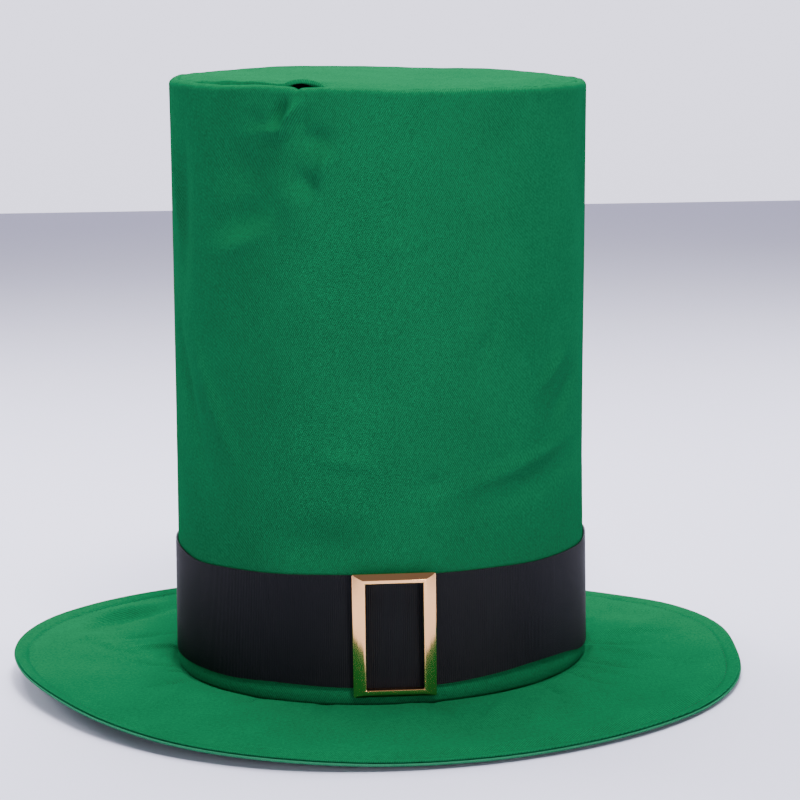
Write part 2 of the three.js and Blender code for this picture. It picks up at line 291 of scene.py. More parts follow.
def ridge(distance: np.ndarray, width: float) -> np.ndarray:
    """Gives a hump with a pointed top that fades over the width."""
    point = 0.12
    return np.exp(point - np.sqrt((distance / width) ** 2 + point**2))


def smooth_step(value: np.ndarray) -> np.ndarray:
    """Gives 0 below 0, 1 above 1 and a smooth way between."""
    share = np.clip(value, 0.0, 1.0)
    return share * share * (3 - 2 * share)


def around(rows: Sequence[NamedTuple], column: str, angle: np.ndarray) -> np.ndarray:
    """Reads a table that goes once round the hat, smoothly.

    Args:
        rows: The table's rows, each with an angle.
        column: The name of the value to read.
        angle: Where to read it, in degrees.

    Returns:
        The value at each angle.
    """
    knots = np.array([row.angle for row in rows], float)
    values = np.array([getattr(row, column) for row in rows], float)
    knots = np.concatenate((knots[-2:] - WHOLE_TURN, knots, knots[:3] + WHOLE_TURN))
    values = np.concatenate((values[-2:], values, values[:3]))
    at = np.mod(angle, WHOLE_TURN)
    i = np.searchsorted(knots, at, side="right") - 1
    span = knots[i + 1] - knots[i]
    t = (at - knots[i]) / span
    slope_in = (values[i + 1] - values[i - 1]) / (knots[i + 1] - knots[i - 1]) * span
    slope_out = (values[i + 2] - values[i]) / (knots[i + 2] - knots[i]) * span
    rise = values[i] - values[i + 1]
    cubic = 2 * rise + slope_in + slope_out
    square = -3 * rise - 2 * slope_in - slope_out
    return ((cubic * t + square) * t + slope_in) * t + values[i]


def fold_depth(
    folds: Sequence[Fold], angle: np.ndarray, place: np.ndarray, radius: np.ndarray
) -> np.ndarray:
    """Adds up the troughs and ridges of a piece.

    Args:
        folds: The piece's folds.
        angle: Where on the piece, in degrees round the hat.
        place: Where along the piece, in the folds' own measure.
        radius: The distance from the hat's axis there.

    Returns:
        How deep the cloth lies under its main form.
    """
    depth = np.zeros(np.broadcast(angle, place).shape)
    for fold in folds:
        sideways = np.radians(turn_to(fold.angle, angle)) * radius
        onward = place - fold.place
        lean = math.radians(fold.slant)
        across = sideways * math.cos(lean) - onward * math.sin(lean)
        along = onward * math.cos(lean) + sideways * math.sin(lean)
        section = bell if fold.profile is Profile.SOFT else ridge
        depth = depth + fold.depth * section(across, fold.across) * bell(along, fold.along)
    return depth


def spread_steps(end: float, count: int, spots: Sequence[tuple[float, float, float]]) -> np.ndarray:
    """Spaces steps from 0 to an end, closer together near some spots.

    Args:
        end: The last step's place.
        count: How many steps.
        spots: For each spot its place, its reach and how many times closer the steps are there.

    Returns:
        The places of the steps, both ends with them.
    """
    fine = np.linspace(0.0, end, 4000)
    density = np.ones_like(fine)
    for place, reach, closer in spots:
        density += (closer - 1) * bell(fine - place, reach)
    total = np.concatenate(([0.0], np.cumsum((density[1:] + density[:-1]) / 2)))
    return np.interp(np.linspace(0.0, total[-1], count), total, fine)


@dataclass(frozen=True)
class HatForm:
    """The hat's main form, shared by its pieces."""

    head_girth: float = 586.0
    head_radius: float = head_girth / (2 * math.pi)
    crown_wall: float = 2.2
    seam_gap: float = 0.3
    axis_x: float = 2.2671
    axis_y: float = 0.9
    crown_height: float = 277.7
    base_radius: float = head_radius + crown_wall
    waist_radius: float = 95.1
    waist_height: float = 140.0
    top_radius: float = 95.7
    lean: float = 2.6
    tip_fall: float = 2.0
    rim_roll: float = 2.7
    seam_height: float = 6.8
    seam_rise: float = 0.9
    brim_layer: float = 1.2
    brim_flat: float = 1.2
    sag_depth: float = 3.2
    sag_skew: float = 1.9
    wrinkle_fade: float = 6.0
    back_seam_width: float = 1.4
    back_seam_depth: float = 0.7

    def place(self, angle: np.ndarray, radius: np.ndarray, height: np.ndarray) -> np.ndarray:
        """Gives points at an angle and distance from the crown's leaning axis.

        Args:
            angle: Degrees round the hat.
            radius: Distance from the axis.
            height: Height above the surface.

        Returns:
            The points, with x, y and z last.
        """
        angle, radius, height = np.broadcast_arrays(angle, radius, height)
        turned = np.radians(angle)
        x = self.axis_x + self.lean * height / self.crown_height + radius * np.cos(turned)
        y = self.axis_y + radius * np.sin(turned)
        return np.stack((x, y, height), axis=-1)

    def seam_line(self, angle: np.ndarray) -> np.ndarray:
        """Gives the height of the brim's top where the crown stands on it."""
        return self.seam_height + self.seam_rise * np.cos(np.radians(angle))

    def rim_line(self, angle: np.ndarray) -> np.ndarray:
        """Gives the height of the crown's rim."""
        return self.crown_height - self.tip_fall * np.cos(np.radians(angle))

    def crown_radius(self, angle: np.ndarray, height: np.ndarray) -> np.ndarray:
        """Gives the crown side's outer radius with its folds and its back seam."""
        below = height < self.waist_height
        end = np.where(below, self.base_radius, self.top_radius)
        reach = np.where(below, self.waist_height, self.crown_height - self.waist_height)
        away = (height - self.waist_height) / reach
        radius = self.waist_radius + (end - self.waist_radius) * away * away
        radius = radius - fold_depth(CROWN_FOLDS, angle, height, self.base_radius)
        from_seam = np.radians(turn_to(BACK, angle)) * self.base_radius
        return radius - self.back_seam_depth * bell(from_seam, self.back_seam_width)

    def brim_edge(self, angle: np.ndarray) -> np.ndarray:
        """Gives the radius of the brim's outer edge."""
        return self.base_radius + around(BRIM_EDGE, "width", angle)

    def brim_middle(self, angle: np.ndarray, share: np.ndarray) -> np.ndarray:
        """Gives the height of the middle of the brim's two layers.

        Args:
            angle: Degrees round the hat.
            share: How far out, from 0 beside the crown to 1 at the edge.

        Returns:
            The height, which is never under the level where the brim lies flat.
        """
        layers = self.brim_layer + self.seam_gap / 2
        at_crown = self.seam_line(angle) - layers
        straight = at_crown + (around(BRIM_EDGE, "height", angle) - at_crown) * share
        inside = np.clip(share, 0.0, 1.0)
        sag = self.sag_depth * np.sin(math.pi * inside**self.sag_skew)
        rate = self.wrinkle_fade
        fade = np.clip(share * rate, 0, 1) * np.clip((1 - share) * rate, 0, 1)
        wrinkle = np.zeros(np.broadcast(angle, share).shape)
        for fold in BRIM_FOLDS:
            radius = self.base_radius + fold.place * BRIM_EDGE[0].width
            wrinkle = wrinkle + fold_depth((fold,), angle, share, radius)
        return np.maximum(layers, straight - sag - fade * wrinkle)


FORM = HatForm()


class MaterialMaker:
    """Builds one node material round a Principled shader."""

    def __init__(self, name: str) -> None:
        """Starts an empty material with its shader."""
        self.material = bpy.data.materials.new(name)
        self.material.use_nodes = True
        self.tree = self.material.node_tree
        self.shader = self.tree.nodes["Principled BSDF"]

    def node(self, kind: str, **settings: object) -> bpy.types.Node:
        """Adds a node.

        Args:
            kind: Its type's name.
            settings: Values of its own properties.

        Returns:
            The new node.
        """
        made = self.tree.nodes.new(kind)
        for name, value in settings.items():
            setattr(made, name, value)
        return made

    def link(self, start: bpy.types.NodeSocket, end: bpy.types.NodeSocket) -> None:
        """Links an output to an input."""
        self.tree.links.new(start, end)

    def feed(self, name: str, output: bpy.types.NodeSocket) -> None:
        """Links an output to the shader's own socket of that name."""
        self.link(output, self.shader.inputs[name])

    def set(self, **values: object) -> None:
        """Sets the shader's own sockets, named with underscores for spaces."""
        for name, value in values.items():
            self.shader.inputs[name.replace("_", " ")].default_value = value

    def math(
        self, operation: str, first: object, second: object = None, third: object = None
    ) -> bpy.types.NodeSocket:
        """Adds a Math node.

        Args:
            operation: What it does.
            first: A number or an output.
            second: A number or an output, where the operation takes one.
            third: A number or an output, where the operation takes one.

        Returns:
            Its output.
        """
        made = self.node("ShaderNodeMath", operation=operation)
        for socket, value in zip(made.inputs, (first, second, third)):
            if isinstance(value, bpy.types.NodeSocket):
                self.link(value, socket)
            elif value is not None:
                socket.default_value = value
        return made.outputs[0]

    def cloth_coordinates(self, turned: float = 0.0) -> bpy.types.NodeSocket:
        """Gives the piece's own cloth coordinates in metres, turned by some degrees."""
        source = self.node("ShaderNodeUVMap", uv_map="weave")
        mapping = self.node("ShaderNodeMapping")
        mapping.inputs["Rotation"].default_value[2] = math.radians(turned)
        self.link(source.outputs["UV"], mapping.inputs["Vector"])
        return mapping.outputs["Vector"]

    def object_coordinates(self) -> bpy.types.NodeSocket:
        """Gives the piece's Object coordinates."""
        return self.node("ShaderNodeTexCoord").outputs["Object"]

    def noise(self, where: bpy.types.NodeSocket, size: float, detail: float = 2.0) -> bpy.types.NodeSocket:
        """Adds a noise whose grains are about size metres wide."""
        made = self.node("ShaderNodeTexNoise")
        made.inputs["Scale"].default_value = 1.0 / size
        made.inputs["Detail"].default_value = detail
        self.link(where, made.inputs["Vector"])
        return made.outputs["Fac"]

    def ribs(self, where: bpy.types.NodeSocket, pitch: float, uneven: float = 0.0) -> bpy.types.NodeSocket:
        """Adds straight ribs across X, pitch metres apart.

        Args:
            where: The coordinates they lie in.
            pitch: The distance from rib to rib.
            uneven: How much they wander.

        Returns:
            A value from 0 in the gaps to 1 on the ribs.
        """
        made = self.node("ShaderNodeTexWave", wave_type="BANDS", bands_direction="X")
        made.inputs["Scale"].default_value = WAVE_PERIOD / pitch
        made.inputs["Distortion"].default_value = uneven
        made.inputs["Detail"].default_value = 1.0
        made.inputs["Detail Scale"].default_value = 0.4
        self.link(where, made.inputs["Vector"])
        return made.outputs["Fac"]

    def range(self, value: bpy.types.NodeSocket, low: float, high: float) -> bpy.types.NodeSocket:
        """Spreads a value from 0 to 1 over another range."""
        return self.math("MULTIPLY_ADD", value, high - low, low)

    def shade(
        self, factor: bpy.types.NodeSocket, first: str | bpy.types.NodeSocket, second: str
    ) -> bpy.types.NodeSocket:
        """Mixes two colours by a factor.

        Args:
            factor: How much of the second colour shows, from 0 to 1.
            first: A screen colour or a colour output.
            second: A screen colour.

        Returns:
            The mixed colour's output.
        """
        made = self.node("ShaderNodeMix", data_type="RGBA")
        colours = [socket for socket in made.inputs if socket.type == "RGBA"]
        if isinstance(first, str):
            colours[0].default_value = linear(first)
        else:
            self.link(first, colours[0])
        colours[1].default_value = linear(second)
        self.link(factor, made.inputs["Factor"])
        return next(socket for socket in made.outputs if socket.type == "RGBA")

    def attribute(self, name: str) -> bpy.types.NodeSocket:
        """Reads a number kept on the piece's points, which is 0 where the piece has none."""
        return self.node("ShaderNodeAttribute", attribute_name=name).outputs["Fac"]

    def bump(self, height: bpy.types.NodeSocket, depth: float) -> None:
        """Gives the surface a relief of some depth in metres."""
        made = self.node("ShaderNodeBump")
        made.inputs["Distance"].default_value = depth
        made.inputs["Strength"].default_value = 1.0
        self.link(height, made.inputs["Height"])
        self.feed("Normal", made.outputs["Normal"])


@dataclass(frozen=True)
class TwillFinish:
    """Polyester twill with fine diagonal ribs and a soft satin sheen."""

    name: str = "green_twill"
    dark: str = "0b331e"
    light: str = "186d43"
    # Pale colour of the painted highlight where the brim's bagged-out edge catches the table's light.
    pale: str = "2f7556"
    wale_pitch: float = 0.00082
    wale_angle: float = 31.0
    yarn_pitch: float = 0.00045
    relief: float = 0.00006
    roughness: float = 0.6
    roughness_spread: float = 0.05
    sheen: float = 0.03
    sheen_tint: str = "30e0a0"
    sheen_roughness: float = 0.4
    patch_size: float = 0.03
    fibre_size: float = 0.0011
    yarn_share: float = 0.3
    weave_share: float = 0.42
    patch_share: float = 0.22
    fibre_share: float = 0.5
    tone_drop: float = 0.15

    def make(self) -> bpy.types.Material:
        """Builds the twill's material."""
        maker = MaterialMaker(self.name)
        wales = maker.ribs(maker.cloth_coordinates(self.wale_angle), self.wale_pitch, uneven=0.3)
        yarns = maker.ribs(maker.cloth_coordinates(), self.yarn_pitch, uneven=0.2)
        patches = maker.noise(maker.object_coordinates(), size=self.patch_size, detail=3.0)
        fibres = maker.noise(maker.object_coordinates(), size=self.fibre_size, detail=1.0)
        weave = maker.math("MULTIPLY_ADD", yarns, self.yarn_share, wales)
        cloudy = maker.math("MULTIPLY", patches, self.patch_share)
        tone = maker.math("MULTIPLY_ADD", weave, self.weave_share, cloudy)
        lowered = maker.math("SUBTRACT", tone, self.tone_drop)
        tone = maker.math("MULTIPLY_ADD", fibres, self.fibre_share, lowered)
        cloth = maker.shade(tone, self.dark, self.light)
        # Along the brim's edge the pale colour is mixed in as a painted highlight, where the edge would
        # catch the table's light.
        maker.feed("Base Color", maker.shade(maker.attribute("painted_edge_highlight"), cloth, self.pale))
        low, high = self.roughness - self.roughness_spread, self.roughness + self.roughness_spread
        maker.feed("Roughness", maker.range(patches, low, high))
        maker.set(Sheen_Weight=self.sheen, Sheen_Roughness=self.sheen_roughness)
        maker.set(Sheen_Tint=linear(self.sheen_tint), Specular_IOR_Level=0.0)
        maker.bump(maker.math("MULTIPLY_ADD", fibres, self.fibre_share, weave), self.relief)
        return maker.material


@dataclass(frozen=True)
class RibbonFinish:
    """Black ribbed ribbon whose ribs stand up and down."""

    name: str = "black_ribbon"
    dark: str = "020203"
    light: str = "15151a"
    rib_pitch: float = 0.00095
    thread_pitch: float = 0.00035
    relief: float = 0.00003
    roughness: float = 0.36
    roughness_spread: float = 0.06
    gloss: float = 0.14
    patch_size: float = 0.02
    thread_share: float = 0.2
    patch_share: float = 0.2
    # Share of the painted highlight on the ribs in the ribbon's tone.
    rib_highlight_share: float = 0.5

    def make(self) -> bpy.types.Material:
        """Builds the ribbon's material."""
        maker = MaterialMaker(self.name)
        threads = maker.ribs(maker.cloth_coordinates(90.0), self.thread_pitch, uneven=0.5)
        patches = maker.noise(maker.object_coordinates(), size=self.patch_size)
        # The lighter tone on each rib is a painted highlight on the ribs' lit crests.
        ribs = maker.ribs(maker.cloth_coordinates(), self.rib_pitch)
        cloudy = maker.math("MULTIPLY", patches, self.patch_share)
        tone = maker.math("MULTIPLY_ADD", threads, self.thread_share, cloudy)
        tone = maker.math("MULTIPLY_ADD", ribs, self.rib_highlight_share, tone)
        maker.feed("Base Color", maker.shade(tone, self.dark, self.light))
        low, high = self.roughness - self.roughness_spread, self.roughness + self.roughness_spread
        maker.feed("Roughness", maker.range(patches, low, high))
        maker.set(Specular_IOR_Level=self.gloss)
        maker.bump(threads, self.relief)
        return maker.material


@dataclass(frozen=True)
class ThreadFinish:
    """Green sewing thread, a little darker than the cloth: the darkness is painted shade of the stitch
    groove that it lies in.
    """

    name: str = "green_thread"
    dark: str = "053020"
    light: str = "07452a"
    ply_pitch: float = 0.0005
    relief: float = 0.00004
    roughness: float = 0.6
    gloss: float = 0.05

    def make(self) -> bpy.types.Material:
        """Builds the thread's material."""
        maker = MaterialMaker(self.name)
        plies = maker.noise(maker.object_coordinates(), size=self.ply_pitch)
        maker.feed("Base Color", maker.shade(plies, self.dark, self.light))
        maker.set(Roughness=self.roughness, Specular_IOR_Level=self.gloss)
        maker.bump(plies, self.relief)
        return maker.material


@dataclass(frozen=True)
class MetalFinish:
    """Polished plate in a pale rose gold."""

    name: str = "rose_gold"
    dark: str = "ffbb76"
    light: str = "ffc584"
    roughness: float = 0.13
    roughness_spread: float = 0.05
    patch_size: float = 0.008
    hairline_size: float = 0.0007
    relief: float = 0.000002

    def make(self) -> bpy.types.Material:
        """Builds the metal's material."""
        maker = MaterialMaker(self.name)
        patches = maker.noise(maker.object_coordinates(), size=self.patch_size)
        hairlines = maker.noise(maker.object_coordinates(), size=self.hairline_size)
        maker.feed("Base Color", maker.shade(patches, self.dark, self.light))
        high = self.roughness + self.roughness_spread
        maker.feed("Roughness", maker.range(patches, self.roughness, high))
        maker.set(Metallic=1.0)
        maker.bump(hairlines, self.relief)
        return maker.material


def only(item: bpy.types.Object) -> None:
    """Selects one object alone and makes it the active one."""
    bpy.ops.object.select_all(action="DESELECT")
    item.select_set(True)
    bpy.context.view_layer.objects.active = item


def apply_all(item: bpy.types.Object) -> None:
    """Applies an object's modifiers in order."""
    only(item)
    for modifier in list(item.modifiers):
        bpy.ops.object.modifier_apply(modifier=modifier.name)


def join_all(items: Sequence[bpy.types.Object], name: str) -> bpy.types.Object:
    """Joins objects into one.

    Args:
        items: The objects, which are used up.
        name: The joined piece's name.

    Returns:
        The joined piece.
    """
    only(items[0])
    for item in items[1:]:
        item.select_set(True)
    bpy.ops.object.join()
    items[0].name = name
    return items[0]


@dataclass
class ClothGrid:
    """A grid of points that becomes one thin piece of cloth.

    The first axis of the points goes round the hat against the clock and the second one crosses the
    piece, so that the faces look outwards where it climbs, and upwards where it runs in to the middle.
    """

    name: str
    points: np.ndarray
    weave: np.ndarray
    thickness: float
    closed: bool = True
    poled: bool = False
    # Painted highlight along an edge, from 0 to 1, kept on the points for the finish.
    edge_highlight: np.ndarray | None = None

    def build(self) -> bpy.types.Object:
        """Makes the mesh, gives it its thickness and smooths it.

        Returns:
            The piece, in metres, at the origin.
        """
        columns, rows, _ = self.points.shape
        spans = columns if self.closed else columns - 1
        last = rows - 1 if self.poled else rows
        i, j = np.meshgrid(np.arange(spans), np.arange(last - 1), indexing="ij")
        after = (i + 1) % columns

        def corner(column: np.ndarray, row: np.ndarray) -> np.ndarray:
            """Gives a grid point's index."""
            return column * last + row

        quads = np.stack((corner(i, j), corner(after, j), corner(after, j + 1), corner(i, j + 1)), -1)
        places = np.stack((i, i + 1, i + 1, i), -1), np.stack((j, j, j + 1, j + 1), -1)
        weave = self.weave[places[0], places[1]].reshape(-1, 2)
        points = self.points[:, :last].reshape(-1, 3)
        faces = quads.reshape(-1, 4).tolist()
        if self.poled:
            points = np.vstack((points, self.points[:, -1].mean(0)))
            pole = len(points) - 1
            ring = np.arange(spans)
            ends = corner(ring, last - 1), corner((ring + 1) % columns, last - 1)
            fan = np.stack((*ends, np.full(spans, pole)), -1)
            faces += fan.tolist()
            middles = np.tile(self.weave[:, -1].mean(0), (spans, 1, 1))
            rim = np.stack((self.weave[ring, last - 1], self.weave[ring + 1, last - 1]), 1)
            weave = np.vstack((weave, np.concatenate((rim, middles), 1).reshape(-1, 2)))
        mesh = bpy.data.meshes.new(self.name)
        mesh.from_pydata((points * MM).tolist(), [], faces)
        layer = mesh.uv_layers.new(name="weave")
        layer.data.foreach_set("uv", (weave * MM).ravel())
        # Keeps the painted edge highlight on the points, for the twill to mix in its pale colour.
        if self.edge_highlight is not None:
            highlit = mesh.attributes.new("painted_edge_highlight", "FLOAT", "POINT")
            highlit.data.foreach_set("value", self.edge_highlight.astype(float).ravel())
        piece = bpy.data.objects.new(self.name, mesh)
        bpy.context.scene.collection.objects.link(piece)
        wall = piece.modifiers.new("wall", "SOLIDIFY")
        wall.thickness = self.thickness * MM
        wall.offset = -1.0
        wall.use_even_offset = True
        apply_all(piece)
        bpy.ops.object.shade_smooth_by_angle(angle=math.radians(60))
        return piece


def dress(
    piece: bpy.types.Object, material: bpy.types.Material, slot: Slot, *nodes: str
) -> bpy.types.Object:
    """Gives a piece its finish and its place in the model.

    Args:
        piece: The piece.
        material: Its finish.
        slot: Not used.
        nodes: The CAD nodes that it stands for.

    Returns:
        The same piece.
    """
    piece.data.materials.clear()
    piece.data.materials.append(material)
    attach(piece, "root")
    if nodes:
        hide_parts(*nodes)
    log.info("%s: %d faces", piece.name, len(piece.data.polygons))
    return piece


class Layer(Enum):
    """The brim's two layers."""

    UPPER = "upper"
    UNDER = "under"


@dataclass
class Brim:
    """The wide brim: two rings of cloth, bagged out at the edge and topstitched."""

    twill: bpy.types.Material
    thread: bpy.types.Material
    cloth: float = 0.7
    columns: int = 560
    rows: int = 46
    stitch_inset: float = 6.9
    stitch_line: float = 68.0
    stitch_pitch: float = 3.3
    stitch_length: float = 2.5
    stitch_radius: float = 0.24
    end_taper: float = 0.6
    end_dip: float = 0.9
    look_ahead: float = 0.2
    groove_depth: float = 0.55
    groove_width: float = 0.8
    under_groove: float = 0.25
    puff: float = 2.0
    crown_fade: float = 5.0
    stitch_fade: float = 8.0
    # How strongly and how far in the under layer's outer edge takes the painted highlight.
    edge_highlight: float = 0.6
    highlight_start: float = 1.3
    highlight_reach: float = 0.8

    # The upper layer's edge rolls down to the seam and the under layer's one rolls up to it.
    upper_edge = (
        Station(1.7, 0.0),
        Station(1.2, -0.05),
        Station(0.85, -0.18),
        Station(0.6, -0.38),
        Station(0.5, -0.6),
        Station(0.62, -0.85),
        Station(0.9, -1.0),
    )
    under_edge = (
        Station(1.7, 0.0),
        Station(1.0, 0.04),
        Station(0.45, 0.18),
        Station(0.12, 0.42),
        Station(0.0, 0.75),
        Station(0.08, 1.05),
        Station(0.3, 1.28),
        Station(0.65, 1.4),
        Station(0.95, 1.42),
    )

    def relief(self, angle: np.ndarray, outward: np.ndarray, width: np.ndarray) -> np.ndarray:
        """Gives how far the upper cloth stands over the middle form.

        Args:
            angle: Degrees round the hat.
            outward: Distance from the crown.
            width: The brim's width there.

        Returns:
            The rise, which is never below zero.
        """
        inset = width - outward
        from_stitches = (inset - self.stitch_inset) / self.stitch_fade
        fade = smooth_step(outward / self.crown_fade) * smooth_step(from_stitches)
        creases = fold_depth(BRIM_CREASES, angle, outward, FORM.base_radius + outward)
        puffed = np.maximum(0.0, self.puff - creases)
        return fade * puffed

    def groove(self, angle: np.ndarray, inset: np.ndarray) -> np.ndarray:
        """Gives the depth of the groove that the topstitch pulls, deeper at each needle hole."""
        run = np.radians(angle) * (FORM.base_radius + self.stitch_line)
        holes = 0.75 + 0.25 * np.cos(2 * math.pi * run / self.stitch_pitch)
        return self.groove_depth * holes * bell(inset - self.stitch_inset, self.groove_width)

    def skin(self, layer: Layer) -> tuple[np.ndarray, np.ndarray, np.ndarray]:
        """Gives a layer's outer skin.

        Args:
            layer: Which of the two.

        Returns:
            Its points, its cloth coordinates and how much painted edge highlight it takes at each point.
        """
        angle = np.linspace(0, WHOLE_TURN, self.columns + 1)[:, None]
        edge = FORM.brim_edge(angle)
        start = FORM.base_radius + FORM.brim_flat
        stations = self.upper_edge if layer is Layer.UPPER else self.under_edge
        first = stations[0].inward
        steps = spread_steps(1.0, self.rows, ((0.0, 0.05, 3.0), (0.93, 0.03, 5.0)))
        flat = start + (edge - first - start) * steps[None, :]
        inner = np.full_like(edge, FORM.head_radius)
        radius = np.concatenate((inner, flat, *[edge - s.inward for s in stations[1:]]), axis=1)
        bend = np.concatenate((np.zeros(1 + len(steps)), [s.rise for s in stations[1:]]))[None, :]
        share = np.clip((radius - start) / (edge - start), 0.0, 1.0)
        middle = FORM.brim_middle(angle, share)
        half_gap = FORM.seam_gap / 2
        outward = radius - FORM.base_radius
        inset = edge - radius
        if layer is Layer.UPPER:
            lift = half_gap + FORM.brim_layer + bend
            lift = lift + self.relief(angle, outward, edge - FORM.base_radius) - self.groove(angle, inset)
        else:
            groove = np.minimum(self.groove(angle, inset), self.under_groove)
            lift = -half_gap - FORM.brim_layer + bend + groove
        height = np.maximum(middle + lift, 0.0)
        points = FORM.place(angle, radius, height)[:-1]
        turned = np.radians(angle)
        weave = np.stack((radius * np.cos(turned), radius * np.sin(turned)), axis=-1)
        if layer is Layer.UPPER:
            return points[:, ::-1], weave[:, ::-1], np.zeros(points.shape[:2])
        # The under layer's outer edge takes a painted highlight, where it would catch the table's light.
        highlit = smooth_step((self.highlight_start - inset[:-1]) / self.highlight_reach)
        return points, weave, self.edge_highlight * highlit

    def stitches(self, layer: Layer) -> bpy.types.Object:
        """Lays the row of stitches on one side of the brim.

        Args:
            layer: The side that the row shows on.

        Returns:
            The row as one piece.
        """
        bpy.ops.object.select_all(action="DESELECT")
        bpy.ops.mesh.primitive_cylinder_add(
            vertices=6, radius=self.stitch_radius * MM, depth=self.stitch_length * MM
        )
        thread = bpy.context.object
        bpy.ops.object.mode_set(mode="EDIT")
        bpy.ops.mesh.select_all(action="SELECT")
        bpy.ops.mesh.bisect(plane_co=(0, 0, 0), plane_no=(0, 0, 1))
        bpy.ops.object.mode_set(mode="OBJECT")
        for vertex in thread.data.vertices:
            if abs(vertex.co.z) > self.stitch_length * MM / 4:
                vertex.co.x = vertex.co.x * self.end_taper - self.stitch_radius * MM * self.end_dip
                vertex.co.y *= self.end_taper
        count = round(2 * math.pi * (FORM.base_radius + self.stitch_line) / self.stitch_pitch)
        angle = np.linspace(0, WHOLE_TURN, count, endpoint=False)
        start = FORM.base_radius + FORM.brim_flat
        surface = FORM.seam_gap / 2 + FORM.brim_layer
        if layer is Layer.UPPER:
            side = 1.0
            rise = surface - self.groove_depth + self.stitch_radius * 0.45
        else:
            side = -1.0
            rise = -surface + self.under_groove - self.stitch_radius * 0.1

        def on_cloth(turned: np.ndarray) -> np.ndarray:
            """Gives the middle of the thread at some angles."""
            rim = FORM.brim_edge(turned)
            out = rim - self.stitch_inset
            middle = FORM.brim_middle(turned, (out - start) / (rim - start))
            return FORM.place(turned, out, middle + rise)

        here = on_cloth(angle)
        ahead = on_cloth(angle + self.look_ahead)
        copies = []
        for place, onward in zip(here, ahead):
            along = Vector(onward - place).normalized()
            across = Vector((0, 0, side)).cross(along).normalized()
            up = along.cross(across).normalized()
            turn = Matrix((up, across, along)).transposed().to_4x4()
            copy = thread.copy()
            copy.data = thread.data.copy()
            copy.data.transform(Matrix.Translation(Vector(place) * MM) @ turn)
            bpy.context.scene.collection.objects.link(copy)
            copies.append(copy)
        bpy.data.objects.remove(thread)
        row = join_all(copies, f"brim_topstitch_{layer.value}")
        bpy.ops.object.shade_smooth_by_angle(angle=math.radians(70))
        return row

    def build(self) -> None:
        """Makes both layers and the stitches that hold them together."""
        for layer in Layer:
            points, weave, edge_highlight = self.skin(layer)
            grid = ClothGrid(f"brim_{layer.value}_cloth", points, weave, self.cloth, edge_highlight=edge_highlight)
            piece = dress(grid.build(), self.twill, Slot.TWILL, f"brim_{layer.value}")
            row = dress(self.stitches(layer), self.thread, Slot.TWILL)


